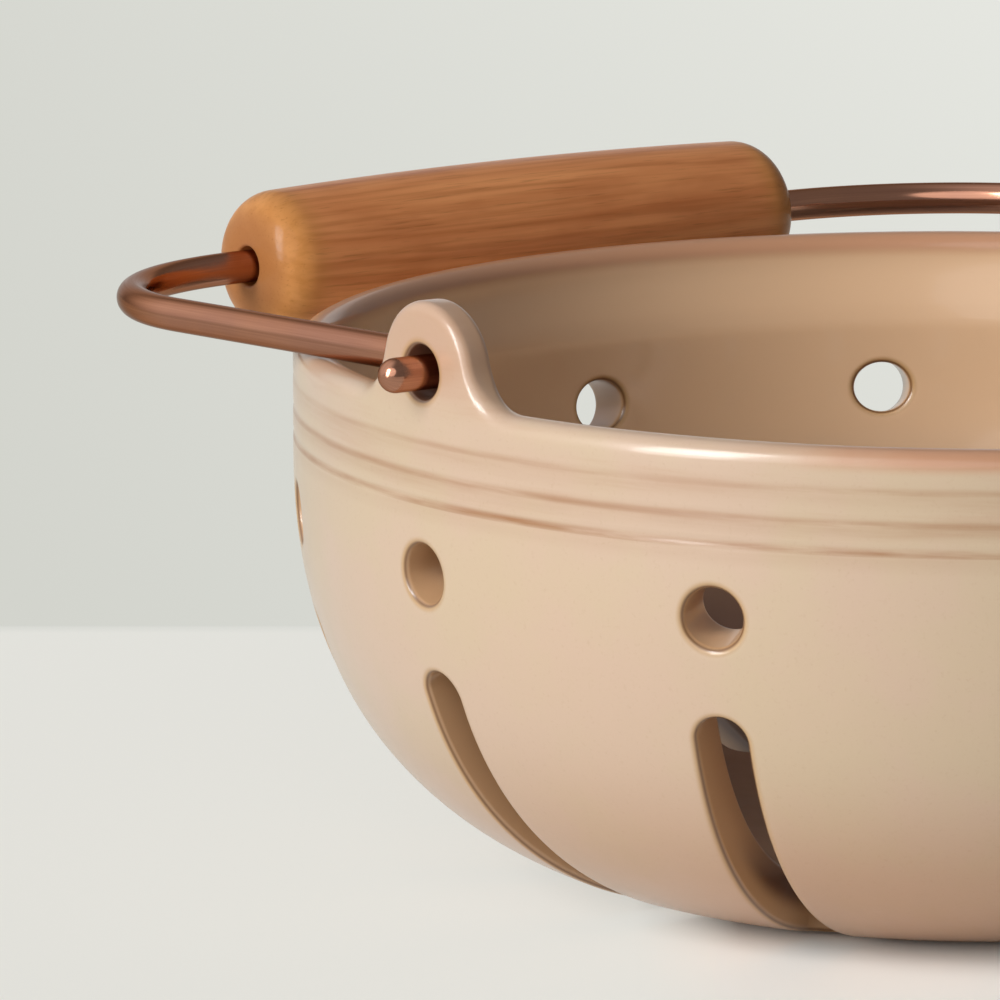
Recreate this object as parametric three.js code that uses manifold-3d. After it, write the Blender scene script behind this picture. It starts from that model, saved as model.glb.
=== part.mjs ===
// Ventilated fruit bowl: a glazed stoneware bowl with round vents and long slots, a wire bail that swings
// on two lugs, and a turned wooden grip on the bail. Millimetres, +Z up. The origin is the centre of the
// flat base, X runs along the bail's pivot, and the bail lies folded towards +Y with its arms on the rim.

import * as THREE from "three";
import { mergeVertices } from "three/addons/utils/BufferGeometryUtils.js";
import Module from "manifold-3d";

const wasm = await Module();
wasm.setup();

// Bowl
const rimRadius = 120; // outer face of the upright band
const rimHeight = 96; // from the base to the top of the rim
const shoulderHeight = 78; // where the curved wall turns upright
const footRadius = 52; // flat base
const rimWall = 6.8; // thickness of the rim and the lugs
const wall = 10; // thickness of the base and of the wall up to the shoulder, from where it thins to the rim
const wallFullness = 2.4; // exponent of the wall's curve: 2 is an ellipse, more is squarer

// Lines thrown into the band under the rim
const grooveDrops = [16.7, 12, 6.5]; // below the rim, from the lowest up
const grooveWidth = 2.4;
const grooveDepth = 0.6;

// Vents, and a slot below each one
const ventCount = 12;
const ventDiameter = 10.7;
const ventHeight = 66;
const slotWidth = 9.2;
const slotTopHeight = 48.8;
const slotFootRadius = 62; // where the slot ends, under the bowl

// Lugs
const lugRadius = 12.2; // round head, concentric with the eye
const lugFootFillet = 10; // hollow curve from the head down to the rim
const lugEdgeRound = 2.4;
const lugSetIn = 0.35; // how far each face lies inside the wall's face
const lugFootSink = 0.3; // how far the feet run out below the crest of the rim
const lugRoot = 5; // how deep the lug reaches into the wall
const pivotRise = 4.8; // the bail's pivot above the rim

// Bail
const wireDiameter = 6;
const eyeClearance = 1.8; // round the wire in a lug's eye
const armGap = 1.7; // between an arm and the rim's inner face
const pinStandOut = 8; // a pin's tip beyond the band's outer face
const pinBend = 6; // centre line radius where an arm turns into its pin
const domeStep = 0.12; // the domed tip is this much slimmer than the wire
const restGap = 0.3; // between the arms and the rim they lie on

// Grip
const gripLength = 120;
const gripDiameter = 29; // at the middle
const gripEndDiameter = 27;
const gripEndRound = 7.5;
const boreClearance = 0.6; // round the wire
const gripGap = 2; // between the grip and the bowl's band
const gripPlay = 1.5; // along the wire to the bail's corners, at each end

// Facets
const bowlSides = 60;
const wallSteps = 10;
const rimSteps = 6;
const holeSides = 20;
const wireSides = 14;
const bendSteps = 8;
const gripSides = 28;
const gripSteps = 4;
const lugSteps = 14;
const lugFootSteps = 4;
const lugRoundSteps = 3;
const cutMargin = 3; // how far a cutter reaches past the faces it cuts

// Sizes that follow from the ones above
const innerRadius = rimRadius - rimWall;
const crestRadius = rimRadius - rimWall / 2;
const wireRadius = wireDiameter / 2;
const pivotHeight = rimHeight + pivotRise;
const armOffset = innerRadius - armGap - wireRadius;
const pinTip = rimRadius + pinStandOut;
const bailReach = rimRadius + gripGap + gripDiameter / 2;
const bailCorner = armOffset - gripLength / 2 - gripPlay;
const rimCrossing = Math.sqrt(crestRadius ** 2 - armOffset ** 2); // along an arm, from the pivot to the rim
const restTilt = Math.asin((pivotRise - wireRadius - restGap) / rimCrossing);

// Turns a closed geometry into a solid that can be joined and cut.
function toSolid(geometry) {
  const bare = new THREE.BufferGeometry();
  bare.setAttribute("position", geometry.attributes.position);
  bare.setIndex(geometry.index);
  const merged = mergeVertices(bare);
  const corners = merged.index.array;
  const triVerts = [];
  for (let i = 0; i < corners.length; i += 3) {
    const [a, b, c] = corners.slice(i, i + 3);
    if (a !== b && b !== c && c !== a) triVerts.push(a, b, c);
  }
  const vertProperties = new Float32Array(merged.attributes.position.array);
  return new wasm.Manifold(new wasm.Mesh({ numProp: 3, vertProperties, triVerts: new Uint32Array(triVerts) }));
}

// Turns a solid back into a geometry.
function toGeometry(solid) {
  const { vertProperties, triVerts } = solid.getMesh();
  const geometry = new THREE.BufferGeometry();
  geometry.setAttribute("position", new THREE.BufferAttribute(vertProperties, 3));
  geometry.setIndex(new THREE.BufferAttribute(triVerts, 1));
  geometry.computeVertexNormals();
  return geometry;
}

// A point of the curved wall as (radius, height). turn runs from 0 at the shoulder to a quarter turn at the
// base, and depth goes from the outer face inwards, so one rule gives the outer face, the inner face and
// the line that a hole follows through the wall.
function wallPoint(turn, depth) {
  const radius = footRadius + (rimRadius - depth - footRadius) * Math.cos(turn);
  const height = shoulderHeight - (shoulderHeight - depth) * Math.sin(turn) ** (2 / wallFullness);
  return new THREE.Vector2(radius, height);
}

function turnAtHeight(height) {
  return Math.asin((1 - height / shoulderHeight) ** (wallFullness / 2));
}

function turnAtRadius(radius) {
  return Math.acos((radius - footRadius) / (rimRadius - footRadius));
}

// Points of the wall at one depth between two turns.
function wallLine(fromTurn, toTurn, depth, steps) {
  const points = [];
  for (let i = 0; i <= steps; i++) {
    points.push(wallPoint(THREE.MathUtils.lerp(fromTurn, toTurn, i / steps), depth));
  }
  return points;
}

// The bowl without its holes and lugs: one closed section turned about the axis.
function bowlShell() {
  const section = [new THREE.Vector2(0, 0), ...wallLine(Math.PI / 2, 0, 0, wallSteps)];
  for (const drop of grooveDrops) {
    const height = rimHeight - drop;
    section.push(new THREE.Vector2(rimRadius, height - grooveWidth / 2));
    section.push(new THREE.Vector2(rimRadius - grooveDepth, height));
    section.push(new THREE.Vector2(rimRadius, height + grooveWidth / 2));
  }
  const rim = new THREE.Path().absarc(crestRadius, rimHeight - rimWall / 2, rimWall / 2, 0, Math.PI);
  section.push(...rim.getSpacedPoints(rimSteps));
  section.push(...wallLine(0, Math.PI / 2, wall, wallSteps), new THREE.Vector2(0, wall));
  return toSolid(new THREE.LatheGeometry(section, bowlSides).rotateX(Math.PI / 2));
}

// A round cutter straight through the wall at one turn, on the +X side.
function wallDrill(turn, diameter) {
  const outside = wallPoint(turn, -cutMargin);
  const inside = wallPoint(turn, wall + cutMargin);
  const along = new THREE.Vector3(outside.x - inside.x, 0, outside.y - inside.y);
  const drill = new THREE.CylinderGeometry(diameter / 2, diameter / 2, along.length(), holeSides);
  drill.applyQuaternion(new THREE.Quaternion().setFromUnitVectors(THREE.Object3D.DEFAULT_UP, along.normalize()));
  drill.translate((outside.x + inside.x) / 2, 0, (outside.y + inside.y) / 2);
  return toSolid(drill);
}

// A slot's cutter on the +X side: a slab that follows the wall, with a round end at its top and its foot.
function slotCutter() {
  const topTurn = turnAtHeight(slotTopHeight - slotWidth / 2);
  const footTurn = turnAtRadius(slotFootRadius + slotWidth / 2);
  const outer = wallLine(topTurn, footTurn, -cutMargin, wallSteps);
  const inner = wallLine(footTurn, topTurn, wall + cutMargin, wallSteps);
  const slab = new THREE.ExtrudeGeometry(new THREE.Shape([...outer, ...inner]), {
    depth: slotWidth,
    bevelEnabled: false,
  });
  slab.rotateX(Math.PI / 2).translate(0, slotWidth / 2, 0);
  return toSolid(slab).add(wallDrill(topTurn, slotWidth)).add(wallDrill(footTurn, slotWidth));
}

// The lug's outline as (along the rim, above the rim), moved inwards by inset. The head's arc and the foot's
// fillet keep their centres, so the rounded edge is the same all round.
function lugOutline(inset) {
  const filletHeight = lugFootFillet - lugFootSink;
  const filletOffset = Math.sqrt((lugRadius + lugFootFillet) ** 2 - (filletHeight - pivotRise) ** 2);
  const meeting = Math.atan2(filletHeight - pivotRise, filletOffset);
  const headArc = new THREE.Path().absarc(0, pivotRise, lugRadius - inset, meeting, Math.PI - meeting);
  const footArc = (side, from, to) =>
    new THREE.Path().absarc(side * filletOffset, filletHeight, lugFootFillet + inset, from, to, true);
  const right = footArc(1, Math.PI * 1.5, Math.PI + meeting).getSpacedPoints(lugFootSteps);
  const left = footArc(-1, -meeting, -Math.PI / 2).getSpacedPoints(lugFootSteps);
  return [...right.slice(0, -1), ...headArc.getSpacedPoints(lugSteps), ...left.slice(1)];
}

// A lug on the +X side: its rounded section is lofted along the outline and bent round the bowl's axis.
function lug() {
  const thickness = rimWall - 2 * lugSetIn;
  const edge = Math.min(lugEdgeRound, thickness / 2 - lugSetIn);
  const rings = [];
  for (let i = 0; i <= lugRoundSteps; i++) {
    const swing = (i / lugRoundSteps) * (Math.PI / 2);
    rings.push({ inset: edge * (1 - Math.sin(swing)), offset: thickness / 2 - edge * (1 - Math.cos(swing)) });
  }
  const outlines = rings.map(({ inset }) => lugOutline(inset));
  const bend = (along, rise, offset) => {
    const angle = along / crestRadius;
    const radius = crestRadius + offset;
    return [radius * Math.cos(angle), radius * Math.sin(angle), rimHeight + rise];
  };
  const sections = outlines[0].map((faceEdge, station) => {
    const outer = rings.map(({ offset }, i) => bend(outlines[i][station].x, outlines[i][station].y, offset));
    const inner = rings.map(({ offset }, i) => bend(outlines[i][station].x, outlines[i][station].y, -offset));
    const outerRoot = bend(faceEdge.x, -lugRoot, thickness / 2);
    const innerRoot = bend(faceEdge.x, -lugRoot, -thickness / 2);
    return [outerRoot, ...outer, ...inner.reverse(), innerRoot];
  });
  return toSolid(loft(sections));
}

// Joins closed sections of equally many points into one closed geometry, with flat ends.
function loft(sections) {
  const count = sections[0].length;
  const corners = [];
  for (let s = 0; s + 1 < sections.length; s++) {
    for (let i = 0; i < count; i++) {
      const here = s * count + i;
      const next = s * count + ((i + 1) % count);
      corners.push(here, next, next + count, here, next + count, here + count);
    }
  }
  const last = (sections.length - 1) * count;
  for (let i = 1; i + 1 < count; i++) {
    corners.push(0, i + 1, i);
    corners.push(last, last + i, last + i + 1);
  }
  const geometry = new THREE.BufferGeometry();
  geometry.setAttribute("position", new THREE.Float32BufferAttribute(sections.flat(2), 3));
  geometry.setIndex(corners);
  return geometry;
}

// The eyes of both lugs, drilled in one line along the pivot.
function eyeDrill() {
  const eyeRadius = wireRadius + eyeClearance;
  const drill = new THREE.CylinderGeometry(eyeRadius, eyeRadius, 2 * (rimRadius + cutMargin), holeSides);
  return toSolid(drill.rotateZ(Math.PI / 2).translate(0, 0, pivotHeight));
}

function bowlGeometry() {
  const ear = lug();
  let bowl = bowlShell().add(ear).add(ear.rotate([0, 0, 180])).subtract(eyeDrill());
  const vent = wallDrill(turnAtHeight(ventHeight), ventDiameter);
  const slot = slotCutter();
  for (let i = 0; i < ventCount; i++) {
    const around = [0, 0, (360 * i) / ventCount];
    bowl = bowl.subtract(vent.rotate(around)).subtract(slot.rotate(around));
  }
  return toGeometry(bowl);
}

// A wire's centre line: straight runs joined by round bends, with steps only where the wire turns.
class BentWire extends THREE.Curve {
  constructor(corners, bends) {
    super();
    this.stations = [];
    const towards = (from, to) => to.clone().sub(from).normalize();
    corners.forEach((corner, i) => {
      const arriving = towards(corners[Math.max(i - 1, 0)], corners[Math.max(i, 1)]);
      if (i === 0 || i === corners.length - 1) {
        this.stations.push({ point: corner, tangent: arriving });
        return;
      }
      const leaving = towards(corner, corners[i + 1]);
      const turn = arriving.angleTo(leaving);
      const inward = leaving.clone().sub(arriving).normalize();
      const centre = corner.clone().addScaledVector(inward, bends[i] / Math.cos(turn / 2));
      const axis = arriving.clone().cross(leaving).normalize();
      const start = corner.clone().addScaledVector(arriving, -bends[i] * Math.tan(turn / 2)).sub(centre);
      for (let k = 0; k <= bendSteps; k++) {
        const angle = (turn * k) / bendSteps;
        const point = start.clone().applyAxisAngle(axis, angle).add(centre);
        this.stations.push({ point, tangent: arriving.clone().applyAxisAngle(axis, angle) });
      }
    });
    this.steps = this.stations.length - 1;
  }

  getPointAt(share) {
    return this.stations[Math.round(share * this.steps)].point.clone();
  }

  getTangentAt(share) {
    return this.stations[Math.round(share * this.steps)].tangent.clone();
  }
}

// The bail lies in its own XY plane, with its pivot along X through the origin.
function bailGeometry() {
  const domeRadius = wireRadius - domeStep;
  const pinEnd = pinTip - domeRadius;
  const corners = [
    new THREE.Vector3(-pinEnd, 0, 0),
    new THREE.Vector3(-armOffset, 0, 0),
    new THREE.Vector3(-armOffset, bailReach, 0),
    new THREE.Vector3(armOffset, bailReach, 0),
    new THREE.Vector3(armOffset, 0, 0),
    new THREE.Vector3(pinEnd, 0, 0),
  ];
  const path = new BentWire(corners, [0, pinBend, bailCorner, bailCorner, pinBend, 0]);
  const section = new THREE.Shape().absarc(0, 0, wireRadius, 0, 2 * Math.PI);
  const wire = new THREE.ExtrudeGeometry(section, {
    steps: path.steps,
    curveSegments: wireSides / 2,
    extrudePath: path,
  });
  let bail = toSolid(wire);
  for (const side of [-1, 1]) {
    const dome = new THREE.SphereGeometry(domeRadius, wireSides, wireSides / 2).rotateZ(Math.PI / 2);
    bail = bail.add(toSolid(dome.translate(side * pinEnd, 0, 0)));
  }
  return toGeometry(bail);
}

// The grip about its own middle, with its axis along X.
function gripGeometry() {
  const half = gripLength / 2;
  const bore = wireRadius + boreClearance;
  const endRadius = gripEndDiameter / 2;
  const bulge = gripDiameter - endRadius; // control radius that brings the curve out to the middle's radius
  const section = new THREE.Path();
  section.moveTo(bore, -half);
  section.lineTo(endRadius - gripEndRound, -half);
  section.absarc(endRadius - gripEndRound, -half + gripEndRound, gripEndRound, -Math.PI / 2, 0);
  section.quadraticCurveTo(bulge, 0, endRadius, half - gripEndRound);
  section.absarc(endRadius - gripEndRound, half - gripEndRound, gripEndRound, 0, Math.PI / 2);
  section.lineTo(bore, half);
  section.lineTo(bore, -half);
  const turned = new THREE.LatheGeometry(section.getPoints(gripSteps), gripSides).rotateZ(Math.PI / 2);
  return toGeometry(toSolid(turned));
}

function named(name, geometry, material) {
  const mesh = new THREE.Mesh(geometry, new THREE.MeshStandardMaterial(material));
  mesh.name = name;
  return mesh;
}

const bowl = named("bowl", bowlGeometry(), { color: 0xdcc3aa, roughness: 0.35, metalness: 0 });
const wire = named("bail_wire", bailGeometry(), { color: 0xa5674c, roughness: 0.35, metalness: 1 });
const grip = named("wood_grip", gripGeometry(), { color: 0xa5693c, roughness: 0.5, metalness: 0 });
grip.position.set(-gripPlay, bailReach, 0); // slid along the wire to the near corner

// The bail and its grip turn together about the lugs' eyes.
const bail = new THREE.Group();
bail.add(wire, grip);
bail.position.set(0, 0, pivotHeight);
bail.rotation.x = -restTilt;

const fruitBowl = new THREE.Group();
fruitBowl.add(bowl, bail);

export default fruitBowl;
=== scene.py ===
# %% [markdown]
# # A ventilated fruit bowl
# The real bowl is stoneware: thrown in one piece, pierced while the clay was firm, then glazed and fired.
# A copper-plated wire bail hangs in the eyes of two lugs on the rim, and a turned wooden grip is threaded on
# the wire. That makes three pieces of three materials. Each step below says what the piece is on the real
# bowl, how it could be made in Blender, and why this way was chosen. Sizes are in millimetres, as on a
# workshop drawing, and become metres only when a mesh is made.

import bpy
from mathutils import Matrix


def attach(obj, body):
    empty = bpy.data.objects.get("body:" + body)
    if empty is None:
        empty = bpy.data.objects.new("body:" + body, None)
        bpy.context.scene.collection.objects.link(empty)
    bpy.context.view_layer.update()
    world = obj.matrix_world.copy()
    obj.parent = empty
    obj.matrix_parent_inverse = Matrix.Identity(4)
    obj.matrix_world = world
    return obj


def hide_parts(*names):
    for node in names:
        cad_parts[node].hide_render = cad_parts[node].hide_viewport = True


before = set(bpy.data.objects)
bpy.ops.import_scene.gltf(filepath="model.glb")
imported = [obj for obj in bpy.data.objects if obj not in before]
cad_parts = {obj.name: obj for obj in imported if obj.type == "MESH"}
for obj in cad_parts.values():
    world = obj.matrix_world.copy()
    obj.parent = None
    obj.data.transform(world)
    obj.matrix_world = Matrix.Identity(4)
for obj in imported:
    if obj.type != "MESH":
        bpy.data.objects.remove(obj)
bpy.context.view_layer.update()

# %% [markdown]
# ## Small helpers
# Three things are needed all the way through: a colour, a node and a mesh. Colours are written as sRGB hex,
# as a colour picker shows them, but Blender's sockets take linear light, so one function turns one into the
# other. Nodes could be clicked together by hand; here one function adds a node, sets it up and links it, and
# each tree binds it to itself as a short add.

# %% Helpers
import math
from functools import partial

import bpy
import numpy as np
from mathutils import Matrix, Vector
from mathutils.geometry import delaunay_2d_cdt

MM = 0.001


def linear(hex_colour):
    """An sRGB hex colour as linear RGBA."""
    channels = [int(hex_colour[i:i + 2], 16) / 255 for i in (0, 2, 4)]
    return [c / 12.92 if c <= 0.04045 else ((c + 0.055) / 1.055) ** 2.4 for c in channels] + [1.0]


def add_node(tree, kind, inputs=None, **settings):
    """Adds a node. Settings go on the node, and each input gets a value or a link from a node or socket."""
    node = tree.nodes.new(kind)
    for name, value in settings.items():
        setattr(node, name, value)
    for key, value in (inputs or {}).items():
        socket = next((s for s in node.inputs if s.identifier == key), None) or node.inputs[key]
        if isinstance(value, bpy.types.Node):
            value = next(s for s in value.outputs if s.enabled)
        if isinstance(value, bpy.types.NodeSocket):
            tree.links.new(value, socket)
        else:
            socket.default_value = value
    return node


def mesh_piece(name, points, faces=(), edges=(), **attributes):
    """A mesh object from points in millimetres, with a float attribute for each keyword."""
    mesh = bpy.data.meshes.new(name)
    mesh.from_pydata((np.asarray(points) * MM).tolist(), edges, faces)
    for label, values in attributes.items():
        layer = mesh.attributes.new(label, "FLOAT", "POINT")
        layer.data.foreach_set("value", np.asarray(values, np.float32))
    piece = bpy.data.objects.new(name, mesh)
    bpy.context.scene.collection.objects.link(piece)
    return piece


def smooth(share):
    """A soft step from 0 to 1."""
    share = np.clip(share, 0, 1)
    return share * share * (3 - 2 * share)


print("helpers ready")

# %% [markdown]
# ## The bowl's wall
# A thrown wall is one curve turned about an axis. The CAD model draws it as a squarish quarter of an
# ellipse, with the outer face at depth 0 and the inner face one wall further in, and this script follows the
# same rule. The curve is measured along its outer face, because holes are marked out on the face of the clay:
# a place on the wall is then how far along it lies from the foot, how far sideways, and how deep. Before the
# foot the same coordinates carry on over the flat base to its centre.

# %% The wall's curve
RIM_RADIUS = 120.0
RIM_HEIGHT = 96.0
SHOULDER_HEIGHT = 78.0
FOOT_RADIUS = 52.0
WALL = 10.0
RIM_WALL = 6.8
WALL_FULLNESS = 2.4
CURVE_POINTS = 2001


def wall_point(turn, depth):
    """Radius and height at one turn of the curve, from a quarter turn at the foot to 0 at the shoulder."""
    radius = FOOT_RADIUS + (RIM_RADIUS - depth - FOOT_RADIUS) * np.cos(turn)
    height = SHOULDER_HEIGHT - (SHOULDER_HEIGHT - depth) * np.sin(turn) ** (2 / WALL_FULLNESS)
    return radius, height


turns = np.linspace(math.pi / 2, 0, CURVE_POINTS)
face_radius, face_height = wall_point(turns, 0)
face_steps = np.hypot(np.diff(face_radius), np.diff(face_height))
climb = np.concatenate([[0], np.cumsum(face_steps)])
WALL_LENGTH = climb[-1]


def meridian(along, depth):
    """Radius and height of a point by its way along the outer face and its depth."""
    radius, height = wall_point(np.interp(along, climb, turns), depth)
    return radius + np.minimum(along, 0), height


print(f"the wall is {WALL_LENGTH:.1f} mm from foot to shoulder")

# %% [markdown]
# ## Vents and slots
# Twelve round vents circle the bowl, each with a long slot under it that runs down the wall and on beneath
# the bowl, so that air rises past the fruit. A boolean would cut them, but it leaves razor edges, and wet
# clay is wiped round. So each hole is a ring that can be drawn at any inset from its edge: from a few such
# rings, stepped round a small radius and through the wall, comes a lip of even quads, soft on both faces.
# The glaze builds up on an edge, so each throat is narrower than its cut by a quarter of a millimetre a side.

# %% Rings of the vent and the slot
SECTORS = 12
VENT_DIAMETER = 10.7
VENT_HEIGHT = 66.0
SLOT_WIDTH = 9.2
SLOT_TOP_HEIGHT = 48.8
SLOT_FOOT_RADIUS = 62.0
GLAZE_BUILD = 0.25
HOLE_ROUND = 1.3
HOLE_REACH = 2.0
LIP_STEPS = 5
VENT_STEPS = 56
SLOT_END_STEPS = 20
SLOT_SIDE_STEPS = 36

vent_along = np.interp(VENT_HEIGHT, face_height, climb)
slot_top = np.interp(SLOT_TOP_HEIGHT - SLOT_WIDTH / 2, face_height, climb)
slot_foot = np.interp(SLOT_FOOT_RADIUS + SLOT_WIDTH / 2, face_radius, climb)


def arc(centre, radius, angle):
    """Points on a circle in a flat sheet."""
    return np.array(centre) + radius * np.stack([np.cos(angle), np.sin(angle)], 1)


def vent_ring(inset):
    """The vent's edge as (sideways, along), moved into the clay by inset."""
    angle = np.linspace(0, 2 * math.pi, VENT_STEPS, endpoint=False)
    return arc((0, vent_along), VENT_DIAMETER / 2 - GLAZE_BUILD + inset, angle)


def slot_ring(inset):
    """The slot's edge: two round ends and two straight sides."""
    reach = SLOT_WIDTH / 2 - GLAZE_BUILD + inset
    angle = np.linspace(0, math.pi, SLOT_END_STEPS, endpoint=False)
    side = np.linspace(slot_top, slot_foot, SLOT_SIDE_STEPS, endpoint=False)
    across = np.full(SLOT_SIDE_STEPS, reach)
    left = np.stack([-across, side], 1)
    right = np.stack([across, slot_foot + slot_top - side], 1)
    return np.concatenate([arc((0, slot_top), reach, angle), left, arc((0, slot_foot), -reach, angle), right])


def wall_edge(sideways, along):
    """Distance in millimetres from the throat of the nearest vent or slot."""
    vent = np.hypot(sideways, along - vent_along) - VENT_DIAMETER / 2
    slot = np.hypot(sideways, along - np.clip(along, slot_foot, slot_top)) - SLOT_WIDTH / 2
    return np.minimum(vent, slot) + GLAZE_BUILD


def lip_section(thickness, round_radius, reach, steps):
    """Steps over a rounded edge as (inset, depth), from the outer face to the inner face."""
    swing = np.linspace(0, math.pi / 2, steps + 1)
    outer = [(reach, 0.0)]
    outer += list(zip(round_radius * (1 - np.sin(swing)), round_radius * (1 - np.cos(swing))))
    return outer + [(inset, thickness - depth) for inset, depth in reversed(outer)]


def with_last(points, value):
    """Points with one more coordinate."""
    return np.column_stack([points, np.full(len(points), value)])


def lip_rows(ring, section):
    """Rows of (across, up, depth) over an edge."""
    return [with_last(ring(inset), depth) for inset, depth in section]


def quads(rows, count, closed=True):
    """Faces between rows of so many points, listed row by row."""
    faces = []
    for k in range(rows - 1):
        for i in range(count if closed else count - 1):
            here, beside = k * count + i, k * count + (i + 1) % count
            faces.append((here, beside, beside + count, here + count))
    return faces


def row_patch(rows, closed=True):
    """A patch of quads from rows of equally many points."""
    return np.concatenate(rows), quads(len(rows), len(rows[0]), closed)


hole_section = lip_section(WALL, HOLE_ROUND, HOLE_REACH, LIP_STEPS)
print(f"vent {vent_along:.1f} mm along the wall, slot from {slot_foot:.1f} to {slot_top:.1f} mm")

# %% [markdown]
# ## A sheet with holes
# Between the lips lies plain clay. It could be a grid with holes cut in it, but a grid never meets a round
# lip neatly. A Delaunay triangulation takes any set of points and joins them with well-shaped triangles, so
# the lips' outermost rings and rows of points 3 mm apart go in together, and the triangles that fall inside a
# hole are left out. The same flat sheet then serves twice: at depth 0 it is the outer face, and one wall
# deeper the inner face.

# %% The sheet of one wall sector
HALF_SECTOR = math.pi / SECTORS
COLUMNS = 20
ROW_STEP = 3.0
CLEARING = 1.3
INSIDE_OUTLINE = 1
MERGE_MM = 1e-4


def sheet(loops, loose, in_clay):
    """Triangulates an outline, its holes and loose points, and keeps the triangles that lie in clay."""
    points, edges = [], []
    for loop in loops:
        first, count = len(points), len(loop)
        edges += [(first + i, first + (i + 1) % count) for i in range(count)]
        points += [Vector(p) for p in loop]
    points += [Vector(p) for p in loose]
    flat, _, faces, *_ = delaunay_2d_cdt(points, edges, [], INSIDE_OUTLINE, MERGE_MM)
    flat = np.array([tuple(p) for p in flat])
    corners = np.array(faces)
    middles = flat[corners].mean(1)
    return flat, corners[in_clay(middles[:, 0], middles[:, 1])]


def both_faces(flat, corners, thickness, outer_depth=0.0):
    """A flat sheet as the outer and the inner face of a wall."""
    faces = [tuple(c) for c in corners] + [tuple(c[::-1] + len(flat)) for c in corners]
    return np.concatenate([with_last(flat, outer_depth), with_last(flat, thickness)]), faces


def wall_rows():
    """The right side of a plain sector, and the rows of points between its sides."""
    rows = list(np.linspace(WALL_LENGTH, 0, round(WALL_LENGTH / ROW_STEP) + 1))
    rows += list(np.linspace(0, -FOOT_RADIUS, round(FOOT_RADIUS / ROW_STEP) + 1))[1:-1]
    right, middle = [], []
    for along in rows:
        radius, _ = meridian(along, 0)
        columns = max(2, round(COLUMNS * radius / RIM_RADIUS))
        angle = np.linspace(-HALF_SECTOR, HALF_SECTOR, columns + 1)
        row = with_last(radius * np.sin(angle), along)
        right.append(row[-1])
        middle.append(row[1:-1])
    return np.array(right), middle


side, rows = wall_rows()
mirrored = side[::-1] * [-1, 1]
centre = [[0.0, -FOOT_RADIUS]]
outline = np.concatenate([side, centre, mirrored, rows[0]])
inner_points = np.concatenate(rows[1:])
inner_points = inner_points[wall_edge(inner_points[:, 0], inner_points[:, 1]) > HOLE_REACH + CLEARING]
wall_flat, wall_corners = sheet(
    [outline, vent_ring(HOLE_REACH), slot_ring(HOLE_REACH)],
    inner_points,
    lambda sideways, along: wall_edge(sideways, along) > HOLE_REACH,
)
print(f"wall sheet: {len(wall_corners)} triangles in a sector")

# %% [markdown]
# ## From the flat sheet to the turned wall
# A drilled hole keeps its width right through the clay, but the two sides of a sector have to run towards
# the axis so that twelve of them close into a ring. So a point keeps its sideways place near the holes and
# its angle near the sector's edges, and changes gently from one to the other.

# %% Place wall points in space
KEEP_ANGLE = math.radians(7)
vent_clear = vent_along + VENT_DIAMETER / 2 + HOLE_REACH


def on_wall(sideways, along, depth):
    """Places of the wall's sheet as points in space."""
    face, _ = meridian(along, 0)
    radius, height = meridian(along, depth)
    angle = np.arcsin(np.clip(sideways / np.maximum(face, MERGE_MM), -1, 1))
    by_side = smooth((np.abs(angle) - KEEP_ANGLE) / (HALF_SECTOR - KEEP_ANGLE))
    by_top = smooth((along - vent_clear) / (WALL_LENGTH - vent_clear))
    by_angle = np.maximum(by_side, by_top)
    across = (1 - by_angle) * sideways + by_angle * radius * np.sin(angle)
    return np.stack([np.sqrt(np.maximum(radius ** 2 - across ** 2, 0)), across, height], 1)


def join_patches(*patches):
    """Several patches as one set of points and faces."""
    points, faces, first = [], [], 0
    for patch_points, patch_faces in patches:
        points.append(patch_points)
        faces += [tuple(int(i) + first for i in face) for face in patch_faces]
        first += len(patch_points)
    return np.concatenate(points), faces


wall_spots, wall_faces = join_patches(
    both_faces(wall_flat, wall_corners, WALL),
    row_patch(lip_rows(vent_ring, hole_section)),
    row_patch(lip_rows(slot_ring, hole_section)),
)
wall_points = on_wall(*wall_spots.T)
print(f"wall sector: {len(wall_points)} points, {len(wall_faces)} faces")

# %% [markdown]
# ## The band and the lugs
# Above the shoulder the wall stands upright as a band with three lines thrown into it, and ends in a round
# rim. At two places the rim swells up into a lug: a round head about the pivot's eye, with hollow fillets
# down to the rim. Rim and lug share one edge line, so one lip runs over both, and because arcs keep their
# centres when they are inset, the rounding stays even all the way. The lug was cut from a flat strap of clay,
# so the round section of the rim squares up as it climbs the lug: its rows are mixed from both. The band
# needs fine rows only where its lines are. Its inner face leans outwards, as the wall thins towards the rim.

# %% The band's outline and lines
GROOVE_HEIGHTS = [RIM_HEIGHT - drop for drop in (16.7, 12.0, 6.5)]
GROOVE_DEPTHS = [0.07, 0.06, 0.05]
GROOVE_WIDTH = 2.4
GROOVE_ROWS = 8
LINE_STRENGTHS = [1.2, 0.8, 0.5]
LINE_SINKS = 0.6
LUG_RADIUS = 12.2
LUG_FILLET = 10.0
PIVOT_RISE = 4.8
EYE_RADIUS = 4.8
EYE_STEPS = 48
EYE_REACH = 1.7
EYE_ROUND = 1.0
RIM_ROUND = 3.25
LUG_ROUND = 2.0
LUG_SQUARES_UP = 6.0
RIM_REACH = 4.0
RIM_STEPS = 8
LEDGE_DROP = 0.7
LEDGE_HEIGHT = RIM_HEIGHT - RIM_REACH - LEDGE_DROP
FOOT_ARC_STEPS = 9
HEAD_ARC_STEPS = 32
CREST_RADIUS = RIM_RADIUS - RIM_WALL / 2
PIVOT_HEIGHT = RIM_HEIGHT + PIVOT_RISE

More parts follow.
